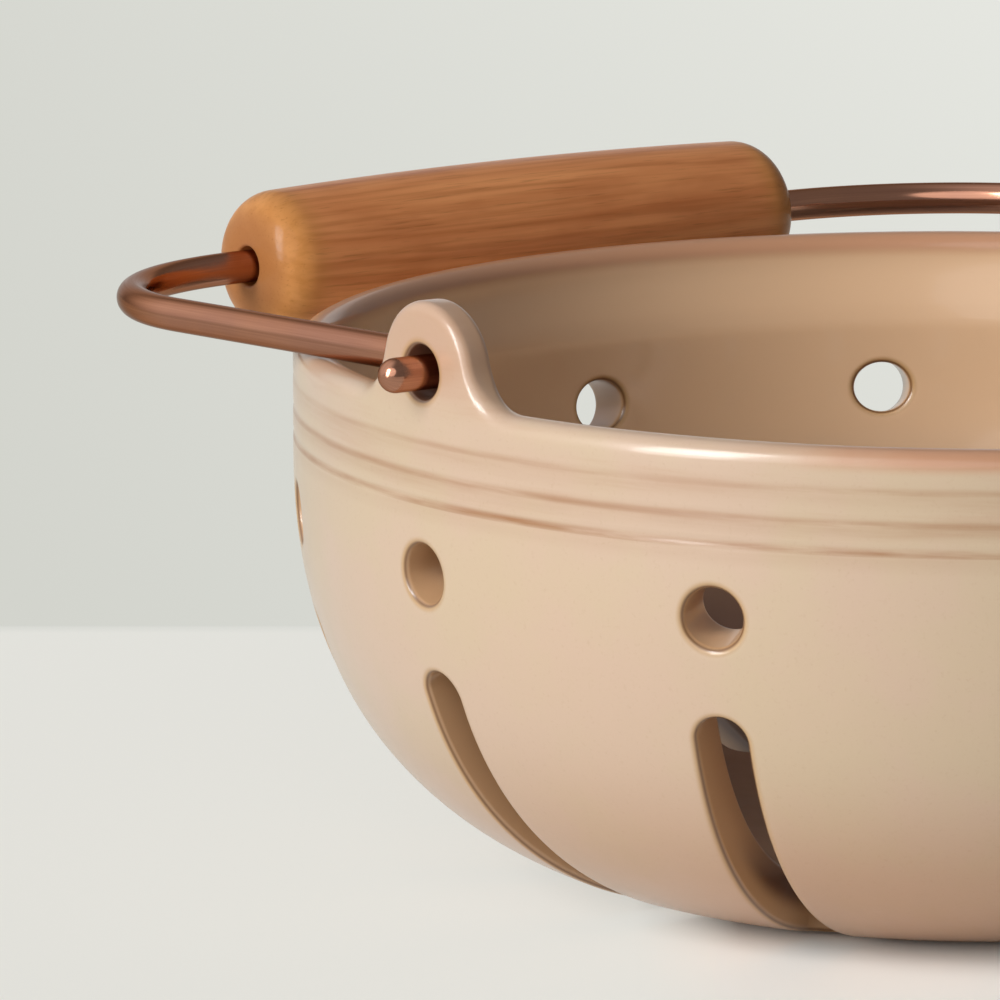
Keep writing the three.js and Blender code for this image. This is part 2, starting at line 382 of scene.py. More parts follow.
band_half = HALF_SECTOR * CREST_RADIUS
columns = np.linspace(-band_half, band_half, COLUMNS + 1)
fillet_offset = math.sqrt((LUG_RADIUS + LUG_FILLET) ** 2 - (LUG_FILLET - PIVOT_RISE) ** 2)
meeting = math.atan2(LUG_FILLET - PIVOT_RISE, fillet_offset)


def plain_rim(inset):
    """The rim's edge line over one sector as (sideways, height)."""
    return with_last(columns, RIM_HEIGHT - inset)


def lug_rim(inset):
    """The edge line where the rim swells into a lug."""
    rim = with_last(columns[columns > fillet_offset], RIM_HEIGHT - inset)
    foot_angle = np.linspace(math.pi * 1.5, math.pi + meeting, FOOT_ARC_STEPS, endpoint=False)
    foot = arc((fillet_offset, RIM_HEIGHT + LUG_FILLET), LUG_FILLET + inset, foot_angle)
    head_angle = np.linspace(meeting, math.pi - meeting, HEAD_ARC_STEPS + 1)
    head = arc((0, PIVOT_HEIGHT), LUG_RADIUS - inset, head_angle)
    right = np.concatenate([rim[::-1], foot])
    return np.concatenate([right, head, right[::-1] * [-1, 1]])[::-1]


def eye_ring(inset):
    """The edge of a lug's eye."""
    angle = np.linspace(0, 2 * math.pi, EYE_STEPS, endpoint=False)
    return arc((0, PIVOT_HEIGHT), EYE_RADIUS - GLAZE_BUILD + inset, angle)


def groove_share(height, depths):
    """The summed dip of the lines at a height, each a soft hollow."""
    dip = 0.0
    for middle, depth in zip(GROOVE_HEIGHTS, depths):
        off = np.clip((height - middle) / (GROOVE_WIDTH / 2), -1, 1)
        dip = dip + depth * 0.5 * (1 + np.cos(math.pi * off))
    return dip


def band_heights():
    """Rows of the band: its foot, its ledge under the rim, and close rows over each line."""
    heights = [SHOULDER_HEIGHT, LEDGE_HEIGHT]
    for middle in GROOVE_HEIGHTS:
        heights += list(np.linspace(middle - GROOVE_WIDTH / 2, middle + GROOVE_WIDTH / 2, GROOVE_ROWS + 1))
    return np.array(sorted(heights))


print(f"lug feet reach {fillet_offset:.1f} mm to each side of the eye")

# %% [markdown]
# A sector of the band is built from the same kinds of patch as the wall: rows of quads over the lines, a
# triangulated strip that fits them to the edge line above, and lips over the rim and round the eye. Two
# sectors are needed, one plain and one with a lug. Each also gets numbers per point that its glaze will read
# later: how far it is from a cut edge and from the rim, whether it is on the band, how deep it lies in a
# line, and how far through the wall it is.

# %% Two sectors of the bowl
FAR = 30.0
BAND_FADE = 4.0
LUG_POINT_STEP = 2.6
RIM_ARC_FOOT = RIM_HEIGHT - RIM_WALL / 2
rim_section = lip_section(RIM_WALL, RIM_ROUND, RIM_REACH, RIM_STEPS)
lug_section = lip_section(RIM_WALL, LUG_ROUND, RIM_REACH, RIM_STEPS)
eye_section = lip_section(RIM_WALL, EYE_ROUND, EYE_REACH, LIP_STEPS)


def on_band(sideways, height, depth):
    """Places of the band's sheet as points in space."""
    angle = sideways / CREST_RADIUS
    below_rim = smooth((RIM_ARC_FOOT - height) / (RIM_ARC_FOOT - SHOULDER_HEIGHT))
    radius = RIM_RADIUS - depth * (1 + below_rim * (WALL / RIM_WALL - 1))
    return np.stack([radius * np.cos(angle), radius * np.sin(angle), height], 1)


def eye_edge(sideways, height):
    """Distance in millimetres from the throat of the eye."""
    return np.hypot(sideways, height - PIVOT_HEIGHT) - EYE_RADIUS + GLAZE_BUILD


def grid_patch(heights):
    """Rows of quads on both faces of the band, with the lines pressed into the outer one."""
    flat = np.array([(x, z) for z in heights for x in columns])
    corners = np.array(quads(len(heights), len(columns), closed=False))
    return both_faces(flat, corners, RIM_WALL, groove_share(flat[:, 1], GROOVE_DEPTHS))


def band_sector(rim, with_eye):
    """The band over one sector, as (sideways, height, depth) and faces."""
    top = rim(RIM_REACH)
    loops = [np.concatenate([with_last(columns, LEDGE_HEIGHT), top[::-1]])]
    loose = np.zeros((0, 2))
    if with_eye:
        loops.append(eye_ring(EYE_REACH))
        x, z = np.meshgrid(
            np.arange(-fillet_offset, fillet_offset, LUG_POINT_STEP),
            np.arange(LEDGE_HEIGHT, PIVOT_HEIGHT + LUG_RADIUS, LUG_POINT_STEP),
        )
        loose = np.stack([x.ravel(), z.ravel()], 1)
        ceiling = np.interp(loose[:, 0], top[:, 0], top[:, 1])
        clear = (loose[:, 1] > LEDGE_HEIGHT + CLEARING) & (loose[:, 1] < ceiling - CLEARING)
        loose = loose[clear & (eye_edge(loose[:, 0], loose[:, 1]) > EYE_REACH + CLEARING)]

    def in_clay(sideways, height):
        return (eye_edge(sideways, height) > EYE_REACH) | (not with_eye)

    patches = [grid_patch(band_heights()), both_faces(*sheet(loops, loose, in_clay), RIM_WALL)]
    squared = smooth((rim(0.0)[:, 1:] - RIM_HEIGHT) / LUG_SQUARES_UP)
    both_rows = zip(lip_rows(rim, rim_section), lip_rows(rim, lug_section))
    patches.append(row_patch([a + (b - a) * squared for a, b in both_rows], closed=False))
    if with_eye:
        patches.append(row_patch(lip_rows(eye_ring, eye_section)))
    return join_patches(*patches)


def sector_piece(name, rim, with_eye):
    """A whole slice of the bowl, from the middle of its base to the rim."""
    spots, faces = band_sector(rim, with_eye)
    sideways, height, depth = spots.T
    points, all_faces = join_patches((wall_points, wall_faces), (on_band(sideways, height, depth), faces))
    rim_line = rim(0.0)
    rim_off = np.hypot(sideways[:, None] - rim_line[:, 0], height[:, None] - rim_line[:, 1]).min(1)
    band_cut = eye_edge(sideways, height) if with_eye else np.full(len(spots), FAR)
    wall_cut = wall_edge(wall_spots[:, 0], wall_spots[:, 1])
    on_outside = depth < RIM_WALL / 2
    band_line = groove_share(height + LINE_SINKS, LINE_STRENGTHS) * on_outside
    on_band_face = smooth((height - SHOULDER_HEIGHT) / BAND_FADE) * on_outside
    none = np.zeros(len(wall_points))
    return mesh_piece(
        name,
        points,
        all_faces,
        cut_mm=np.minimum(np.concatenate([wall_cut, band_cut]), FAR),
        rim_mm=np.minimum(np.concatenate([none + FAR, rim_off]), FAR),
        band=np.concatenate([none, on_band_face]),
        line=np.concatenate([none, band_line]),
        inside=np.concatenate([wall_spots[:, 2] / WALL, depth / RIM_WALL]),
    )


plain_sector = sector_piece("bowl_glazed", plain_rim, False)
lug_sector = sector_piece("lug_sector", lug_rim, True)
print("plain sector:", len(plain_sector.data.vertices), "lug sector:", len(lug_sector.data.vertices))

# %% [markdown]
# ## Twelve sectors in a ring
# The bowl repeats every 30 degrees, with a lug on every sixth sector. That is a job for Geometry Nodes: one
# point for each sector, instances turned about the axis, and a weld along the seams. A thrown bowl is never
# quite true, so the welded skin is also sunk by a slow noise of a fraction of a millimetre, always inwards,
# and not at all near the base, which stands flat.

# %% Geometry Nodes: ring of sectors
INPUT_KINDS = {
    float: "NodeSocketFloat",
    int: "NodeSocketInt",
    bpy.types.Object: "NodeSocketObject",
    bpy.types.Material: "NodeSocketMaterial",
}


def start_tree(name, values):
    """A tree with a named input for each value. Returns it, a function that adds to it, and its inputs."""
    tree = bpy.data.node_groups.new(name, "GeometryNodeTree")
    tree.interface.new_socket("Geometry", in_out="INPUT", socket_type="NodeSocketGeometry")
    tree.interface.new_socket("Geometry", in_out="OUTPUT", socket_type="NodeSocketGeometry")
    for label, value in values.items():
        tree.interface.new_socket(label, in_out="INPUT", socket_type=INPUT_KINDS[type(value)])
    add = partial(add_node, tree)
    return tree, add, add("NodeGroupInput").outputs


def run_tree(piece, tree, values):
    """Runs a tree on a piece with these inputs, and keeps the result as the piece's plain mesh."""
    modifier = piece.modifiers.new(tree.name, "NODES")
    modifier.node_group = tree
    for item in tree.interface.items_tree:
        if item.in_out == "INPUT" and item.name in values:
            modifier[item.identifier] = values[item.name]
    evaluated = piece.evaluated_get(bpy.context.evaluated_depsgraph_get())
    made = bpy.data.meshes.new_from_object(evaluated)
    if made.materials[0] is None:
        made.materials.pop(index=0)
    piece.modifiers.remove(modifier)
    piece.data = made
    made.name = piece.name


def ring_tree(values):
    tree, add, given = start_tree("ring of sectors", values)
    index = add("GeometryNodeInputIndex").outputs[0]
    step = add("ShaderNodeMath", {0: 2 * math.pi, 1: given["Sectors"]}, operation="DIVIDE")
    turn = add("ShaderNodeMath", {0: index, 1: step}, operation="MULTIPLY")
    spin = add("ShaderNodeCombineXYZ", {"Z": turn})
    spots = add("GeometryNodePoints", {"Count": given["Sectors"]})
    place = add("ShaderNodeMath", {0: index, 1: given["Lug every"]}, operation="MODULO")
    is_lug = add("ShaderNodeMath", {0: place, 1: 1.0}, operation="LESS_THAN")
    is_plain = add("ShaderNodeMath", {0: 1.0, 1: is_lug}, operation="SUBTRACT")
    lug = add("GeometryNodeObjectInfo", {"Object": given["Lug sector"]})
    ring = add("GeometryNodeJoinGeometry")
    for shape, chosen in ((given["Geometry"], is_plain), (lug.outputs["Geometry"], is_lug)):
        placed = {"Points": spots, "Selection": chosen, "Instance": shape, "Rotation": spin}
        copies = add("GeometryNodeInstanceOnPoints", placed)
        tree.links.new(copies.outputs[0], ring.inputs[0])
    real = add("GeometryNodeRealizeInstances", {"Geometry": ring})
    welded = add("GeometryNodeMergeByDistance", {"Geometry": real, "Distance": given["Weld"]})
    spot = add("GeometryNodeInputPosition").outputs[0]
    per_size = add("ShaderNodeMath", {0: 1.0, 1: given["Unevenness size"]}, operation="DIVIDE")
    noise = add("ShaderNodeTexNoise", {"Vector": spot, "Scale": per_size, "Detail": 1.0})
    rise = add("ShaderNodeSeparateXYZ", {"Vector": spot})
    off_base = add(
        "ShaderNodeMapRange",
        {"Value": rise.outputs["Z"], "From Max": given["Flat below"]},
        interpolation_type="SMOOTHSTEP",
    )
    inward = -1.0
    for factor in (noise, given["Unevenness"], off_base):
        inward = add("ShaderNodeMath", {0: inward, 1: factor}, operation="MULTIPLY")
    normal = add("GeometryNodeInputNormal").outputs[0]
    push = add("ShaderNodeVectorMath", {"Vector": normal, "Scale": inward}, operation="SCALE")
    sunk = add("GeometryNodeSetPosition", {"Geometry": welded, "Offset": push})
    painted = add("GeometryNodeSetMaterial", {"Geometry": sunk, "Material": given["Material"]})
    add("NodeGroupOutput", {"Geometry": painted})
    return tree


glaze = bpy.data.materials.new("stoneware_glazed_and_fired")
ring_values = {
    "Sectors": SECTORS,
    "Lug every": SECTORS // 2,
    "Lug sector": lug_sector,
    "Weld": 0.02 * MM,
    "Unevenness": 0.25 * MM,
    "Unevenness size": 45 * MM,
    "Flat below": 8 * MM,
    "Material": glaze,
}
bowl = plain_sector
run_tree(bowl, ring_tree(ring_values), ring_values)
bpy.data.objects.remove(lug_sector)
bowl.data.shade_smooth()
print(f"bowl: {sum(len(p.vertices) - 2 for p in bowl.data.polygons)} triangles")

# %% [markdown]
# ## The bail
# The bail is one length of round wire: a short pin through each lug's eye, a tight bend, an arm along the
# inside of the rim, and a wide corner to the grip. A bent wire is straight runs and arcs, so Geometry Nodes
# starts from its corners, fillets each with its own bend radius and sweeps a circle along the result. Near
# each tip a few extra points with a smaller girth close the wire in a dome, as a filed end is. The sweep
# keeps each point's way along the wire and its place round it, for the finish to follow.

# %% Geometry Nodes: bent wire
WIRE_DIAMETER = 6.0
ARM_GAP = 1.7
PIN_STAND_OUT = 8.0
PIN_BEND = 6.0
REST_GAP = 0.3
GRIP_LENGTH = 120.0
GRIP_DIAMETER = 29.0
GRIP_GAP = 2.0
GRIP_PLAY = 1.5
DOME_STEPS = 8
DOME_TIP = math.radians(88)
BEND_STEPS = 36
WIRE_SIDES = 40

arm_offset = RIM_RADIUS - RIM_WALL - ARM_GAP - WIRE_DIAMETER / 2
pin_tip = RIM_RADIUS + PIN_STAND_OUT
bail_reach = RIM_RADIUS + GRIP_GAP + GRIP_DIAMETER / 2
bail_corner = arm_offset - GRIP_LENGTH / 2 - GRIP_PLAY
rim_crossing = math.sqrt(CREST_RADIUS ** 2 - arm_offset ** 2)
rest_tilt = math.asin((PIVOT_RISE - WIRE_DIAMETER / 2 - REST_GAP) / rim_crossing)


def in_bail(points):
    """Points of the bail's own plane, tilted to rest and raised to its pivot."""
    x, y, z = np.asarray(points, float).T
    level, drop = math.cos(rest_tilt), math.sin(rest_tilt)
    return np.stack([x, y * level + z * drop, PIVOT_HEIGHT - y * drop + z * level], 1)


def wire_corners():
    """Corners of the wire from its left tip to the right one, as (x, y, bend radius, girth)."""
    swing = np.linspace(DOME_TIP, 0, DOME_STEPS + 1)
    radius = WIRE_DIAMETER / 2
    half = [(pin_tip - radius + radius * math.sin(a), 0.0, 0.0, math.cos(a)) for a in swing]
    half += [(arm_offset, 0.0, PIN_BEND, 1.0), (arm_offset, bail_reach, bail_corner, 1.0)]
    right = np.array(half)
    return np.concatenate([right * [-1, 1, 1, 1], right[::-1]])


def wire_tree(values):
    tree, add, given = start_tree("bent wire", values)
    bend = add("GeometryNodeInputNamedAttribute", {"Name": "bend"}, data_type="FLOAT")
    girth = add("GeometryNodeInputNamedAttribute", {"Name": "girth"}, data_type="FLOAT")
    bent = add("ShaderNodeMath", {0: bend, 1: 0.0}, operation="GREATER_THAN")
    steps = add("ShaderNodeMath", {0: bent, 1: given["Bend steps"]}, operation="MULTIPLY")
    line = add("GeometryNodeMeshToCurve", {"Mesh": given["Geometry"]})
    rounding = {"Curve": line, "Count": steps, "Radius": bend}
    bends = add("GeometryNodeFilletCurve", rounding, mode="POLY")
    way = add("GeometryNodeSplineParameter").outputs["Length"]
    section = {"Resolution": given["Sides"], "Radius": given["Radius"]}
    circle = add("GeometryNodeCurvePrimitiveCircle", section, mode="RADIUS")
    spot = add("GeometryNodeInputPosition").outputs[0]
    sweep = {"Scale": girth, "Fill Caps": True}
    for role, shape, name, value, kind in (
        ("Curve", bends, "wire_along", way, "FLOAT"),
        ("Profile Curve", circle, "wire_round", spot, "FLOAT_VECTOR"),
    ):
        kept = {"Geometry": shape, "Name": name, "Value": value}
        sweep[role] = add("GeometryNodeStoreNamedAttribute", kept, data_type=kind, domain="POINT")
    swept = add("GeometryNodeCurveToMesh", sweep)
    real = add("GeometryNodeRealizeInstances", {"Geometry": swept})
    painted = add("GeometryNodeSetMaterial", {"Geometry": real, "Material": given["Material"]})
    add("NodeGroupOutput", {"Geometry": painted})
    return tree


copper = bpy.data.materials.new("steel_wire_copper_plated_and_drawn")
corners = wire_corners()
wire = mesh_piece(
    "bail_wire_bent",
    in_bail(with_last(corners[:, :2], 0.0)),
    edges=[(i, i + 1) for i in range(len(corners) - 1)],
    bend=corners[:, 2] * MM,
    girth=corners[:, 3],
)
wire_values = {
    "Bend steps": BEND_STEPS,
    "Sides": WIRE_SIDES,
    "Radius": WIRE_DIAMETER / 2 * MM,
    "Material": copper,
}
run_tree(wire, wire_tree(wire_values), wire_values)
wire.data.shade_smooth()
print(f"bail: {len(wire.data.polygons)} faces, corner radius {bail_corner:.1f} mm")

# %% [markdown]
# ## The grip
# The grip was turned on a lathe from one stick: a barrel, a little fuller in the middle, with generously
# rounded ends and a hole for the wire. A lathe's work is a section turned about an axis, so the section is
# written as points and each is carried round once. The hole's mouth is eased, as sanding leaves it. The CAD
# grip has flat facets, so the belly is slimmer by their sag and stays inside it.

# %% Turn the grip
GRIP_END_DIAMETER = 27.0
GRIP_END_ROUND = 7.5
BORE_CLEARANCE = 0.6
MOUTH_ROUND = 0.7
FACET_SAG = 0.015
GRIP_SIDES = 96
BARREL_STEPS = 30
ROUND_STEPS = 12
MOUTH_STEPS = 4


def grip_section():
    """One end's section and the barrel to the middle, as (along the axis, radius)."""
    half = GRIP_LENGTH / 2
    bore = WIRE_DIAMETER / 2 + BORE_CLEARANCE
    end = GRIP_END_DIAMETER / 2
    shoulder = half - GRIP_END_ROUND
    points = [(0.0, bore)]
    for swing in np.linspace(0, math.pi / 2, MOUTH_STEPS + 1):
        rise = bore + MOUTH_ROUND * (1 - math.cos(swing))
        points.append((half - MOUTH_ROUND * (1 - math.sin(swing)), rise))
    for swing in np.linspace(0, math.pi / 2, ROUND_STEPS + 1):
        rise = end - GRIP_END_ROUND + GRIP_END_ROUND * math.sin(swing)
        points.append((shoulder + GRIP_END_ROUND * math.cos(swing), rise))
    belly = GRIP_DIAMETER / 2 - FACET_SAG - end
    for share in np.linspace(1, 0, BARREL_STEPS // 2 + 1)[1:]:
        points.append((shoulder * share, end + belly * (1 - share ** 2)))
    return np.array(points)


def turned(section, sides):
    """A closed section carried round the X axis."""
    angle = np.linspace(0, 2 * math.pi, sides, endpoint=False)
    points = [(x, r * math.cos(a), r * math.sin(a)) for x, r in section for a in angle]
    around = quads(len(section) + 1, sides)
    return np.array(points), [(a, d % len(points), c % len(points), b) for a, b, c, d in around]


grip_centre = in_bail([(-GRIP_PLAY, bail_reach, 0)])[0]
near_end = grip_section()
far_end = near_end[::-1][1:-1] * [-1, 1]
grip_points, grip_faces = turned(np.concatenate([near_end, far_end]), GRIP_SIDES)
grip = mesh_piece("grip_turned", grip_points + grip_centre, grip_faces)
grip.data.shade_smooth()
print(f"grip: {len(grip.data.polygons)} faces, centre at {grip_centre.round(2)} mm")

# %% [markdown]
# ## The glaze
# The bowl wears a semi-gloss stoneware glaze. It is a thin layer of glass over clay: pinkish beige where it
# lies thick, with slow yellow and pink clouds and fine specks, and brown where it runs thin, which is along
# the thrown lines, over the rim and round every cut edge. A picture could carry all that, but the glaze
# breaks by the shape of the clay, so the material reads the numbers that the sectors stored at each point.

# %% Glazed stoneware
WHEEL_STRETCH = 14.0
PATCH_SIZE = 38.0
CLOUD_SWELL = 3.0


def start_shader(owner):
    """Empties the tree of a material or world, and returns a function that adds nodes to it."""
    owner.use_nodes = True
    owner.node_tree.nodes.clear()
    return partial(add_node, owner.node_tree)


def per_mm(size):
    """A texture scale that gives features of this many millimetres."""
    return 1 / (size * MM)


def glaze_tree():
    add = start_shader(glaze)
    place = add("ShaderNodeTexCoord").outputs["Object"]
    level = add("ShaderNodeSeparateXYZ", {"Vector": place}).outputs
    height = level["Z"]
    drawn_round = add("ShaderNodeMapping", {"Vector": place, "Scale": (1.0, 1.0, WHEEL_STRETCH)})

    # Clouds 30 mm across, patches of 38 mm, streaks that the wheel drew out, 40 mm long and 3 mm high, and
    # specks, drawn at 0.8 mm because finer ones don't show.
    noise = {}
    for name, spot, size in (
        ("cloud", place, 30),
        ("patch", place, PATCH_SIZE),
        ("streak", drawn_round, 40),
        ("speck", place, 0.8),
    ):
        noise[name] = add(
            "ShaderNodeTexNoise", {"Vector": spot, "Scale": per_mm(size), "Detail": 4.0, "Roughness": 0.6}
        )

    # The side that faced the flame in the kiln begins raggedly, by the size of a patch.
    ragged = PATCH_SIZE * MM
    side = add("ShaderNodeMath", {0: noise["patch"], 1: ragged, 2: level["X"]}, operation="MULTIPLY_ADD")
    stored = {
        name: add("ShaderNodeAttribute", attribute_name=name).outputs["Fac"]
        for name in ("inside", "band", "line", "rim_mm", "cut_mm")
    }

    # Each share runs from 0 at the first value to its most at the second.
    share = {}
    for name, value, none_at, full_at, most in (
        ("cloud", noise["cloud"], 0.36, 0.64, 1.0),
        ("speck", noise["speck"], 0.54, 0.80, 0.35),
        ("foot", height, 45 * MM, 2 * MM, 0.60),
        ("inside", stored["inside"], 0.2, 0.8, 1.0),
        ("inner", stored["inside"], 0.93, 1.0, 1.0),
        ("deep", height, 64 * MM, 24 * MM, 0.95),
        ("streak", noise["streak"], 0.50, 0.72, 0.30),
        ("broken", noise["streak"], 0.14, 0.62, 0.95),
        ("lug", height, 92 * MM, 104 * MM, 0.60),
        ("flame", side, -90 * MM, -66 * MM, 1.0),
        ("rim", stored["rim_mm"], 4.6, 2.0, 0.85),
        ("halo", stored["cut_mm"], 1.8, 0.6, 0.65),
        ("edge", stored["cut_mm"], 0.85, 0.35, 0.85),
        ("throat", stored["cut_mm"], 0.35, 0.05, 0.85),
        # inner half of the wall, the mask of the painted shade low inside
        ("painted_shade_inner_half", stored["inside"], 0.25, 0.65, 0.95),
        ("low", height, 26 * MM, 13 * MM, 1.0),
        ("high", height, 90 * MM, 94 * MM, 1.0),
    ):
        reach = {"Value": value, "From Min": none_at, "From Max": full_at, "To Max": most}
        share[name] = add("ShaderNodeMapRange", reach, interpolation_type="SMOOTHSTEP")
    for name, first, second in (
        # painted shade: a dark tone deep inside the bowl, where it lies in shade
        ("painted_shade_well", share["inner"], share["deep"]),
        ("trail", share["streak"], stored["band"]),
        ("line", share["broken"], stored["line"]),
        ("rim", share["rim"], share["flame"]),
        # painted shade again: low on the wall's inner half and over the slots' feet
        ("painted_shade_low_inside", share["painted_shade_inner_half"], share["low"]),
        ("eye", share["throat"], share["high"]),
    ):
        share[name] = add("ShaderNodeMath", {0: first, 1: second}, operation="MULTIPLY")

    # From the ground up: pink and yellow clouds, specks, a warmer inside, partly painted light bounced round
    # within the bowl, a browner foot, painted shade as a dark tone deep in the well, the wheel's trails, the
    # lines, the lugs and the rim, where the glaze drew back thin, amber and brown at each cut, the same
    # painted shade low on the wall's inner half and over the slots' feet, and the lugs' eyes in a darker
    # brown.
    colour = linear("CBAF97")
    for name, tone in (
        ("cloud", "C9B194"),
        ("speck", "BA9A80"),
        # partly painted light: the inside's warmer tone also stands for light bounced round within the bowl
        ("inside", "E0B992"),
        ("foot", "B07036"),
        # painted shade deep in the well
        ("painted_shade_well", "684839"),
        ("trail", "BC9478"),
        ("line", "9C6C44"),
        ("lug", "BE9276"),
        ("rim", "BE8866"),
        ("halo", "B4884E"),
        ("edge", "6E4622"),
        ("throat", "CDA47C"),
        # painted shade low on the inner half of the wall and in the slots' feet
        ("painted_shade_low_inside", "684839"),
        ("eye", "785040"),
    ):
        tones = {"Factor_Float": share[name], "A_Color": colour, "B_Color": linear(tone)}
        colour = add("ShaderNodeMix", tones, data_type="RGBA")

    # The skin of the glaze is almost smooth: only its specks and slow clouds move the light.
    swell = add(
        "ShaderNodeMath", {0: noise["cloud"], 1: CLOUD_SWELL, 2: noise["speck"]}, operation="MULTIPLY_ADD"
    )
    skin = add("ShaderNodeBump", {"Height": swell, "Strength": 0.12, "Distance": 0.05 * MM})
    rough = add(
        "ShaderNodeMapRange",
        {"Value": noise["cloud"], "From Min": 0.3, "From Max": 0.7, "To Min": 0.3, "To Max": 0.42},
    )
    shader = add(
        "ShaderNodeBsdfPrincipled",
        {
            "Base Color": colour,
            "Roughness": rough,
            "IOR": 1.5,
            "Coat Weight": 0.5,
            "Coat Roughness": 0.06,
            "Normal": skin,
        },
    )
    add("ShaderNodeOutputMaterial", {"Surface": shader})


glaze_tree()
print("glaze:", len(glaze.node_tree.nodes), "nodes")

# %% [markdown]
# ## The wire's finish
# The bail is steel wire plated with copper and drawn through a die, which leaves fine lines along its length.
# It shows as a satin rose-brown metal whose highlight stretches round the wire. Noise that is short round
# the wire and very long along it gives those lines; it reads the two attributes that the sweep stored, so
# the lines follow every bend.

# %% Copper-plated wire
DIE_STRETCH = 0.012


def copper_tree():
    add = start_shader(copper)
    along = add("ShaderNodeAttribute", attribute_name="wire_along").outputs["Fac"]
    around = add("ShaderNodeAttribute", attribute_name="wire_round").outputs["Vector"]
    side = add("ShaderNodeSeparateXYZ", {"Vector": around}).outputs
    stretched = add("ShaderNodeMath", {0: along, 1: DIE_STRETCH}, operation="MULTIPLY")
    flow = add("ShaderNodeCombineXYZ", {"X": side["X"], "Y": side["Y"], "Z": stretched})

    # Die lines are a few hundredths of a millimetre wide; 0.35 mm is as fine as the picture shows.
    lines = add("ShaderNodeTexNoise", {"Vector": flow, "Scale": per_mm(0.35), "Detail": 3.0})
    place = add("ShaderNodeTexCoord").outputs["Object"]
    tarnish = add(
        "ShaderNodeTexNoise", {"Vector": place, "Scale": per_mm(26), "Detail": 3.0, "Roughness": 0.6}
    )
    colour = linear("C28C70")
    for value, none_at, full_at, most, tone in (
        (tarnish, 0.35, 0.65, 1.0, "B68570"),
        (lines, 0.3, 0.7, 0.5, "986854"),
    ):
        reach = {"Value": value, "From Min": none_at, "From Max": full_at, "To Max": most}
        share = add("ShaderNodeMapRange", reach)
        tones = {"Factor_Float": share, "A_Color": colour, "B_Color": linear(tone)}
        colour = add("ShaderNodeMix", tones, data_type="RGBA")
    rough = add(
        "ShaderNodeMapRange",
        {"Value": lines, "From Min": 0.3, "From Max": 0.7, "To Min": 0.12, "To Max": 0.22},
    )
    drawn = add("ShaderNodeBump", {"Height": lines, "Strength": 0.15, "Distance": 0.03 * MM})
    shader = add(
        "ShaderNodeBsdfPrincipled",
        {
            "Base Color": colour,
            "Metallic": 1.0,
            "Specular Tint": linear("BCAAA0"),
            "Roughness": rough,
            "Normal": drawn,
        },
    )
    add("ShaderNodeOutputMaterial", {"Surface": shader})


copper_tree()
print("copper:", len(copper.node_tree.nodes), "nodes")

# %% [markdown]
# ## The grip's wood
# The grip is a close-grained hardwood, stained warm brown and lacquered. Wood is solid pattern: the stick was
# cut beside the pith, so yearly rings pass through it as long bands on the barrel and as arcs on its ends,
# and short dark pores run along it. A painted skin would show a seam, so rings and pores are computed in
# space, centred on the grip with a Mapping node.

# %% Stained hardwood
wood = bpy.data.materials.new("hardwood_turned_stained_and_lacquered")
PITH = (0.0, -24.0, 31.0)
RING_SPACING = 3.2
RING_WANDER = 1.6
SHOULDER_FADE = 4.0


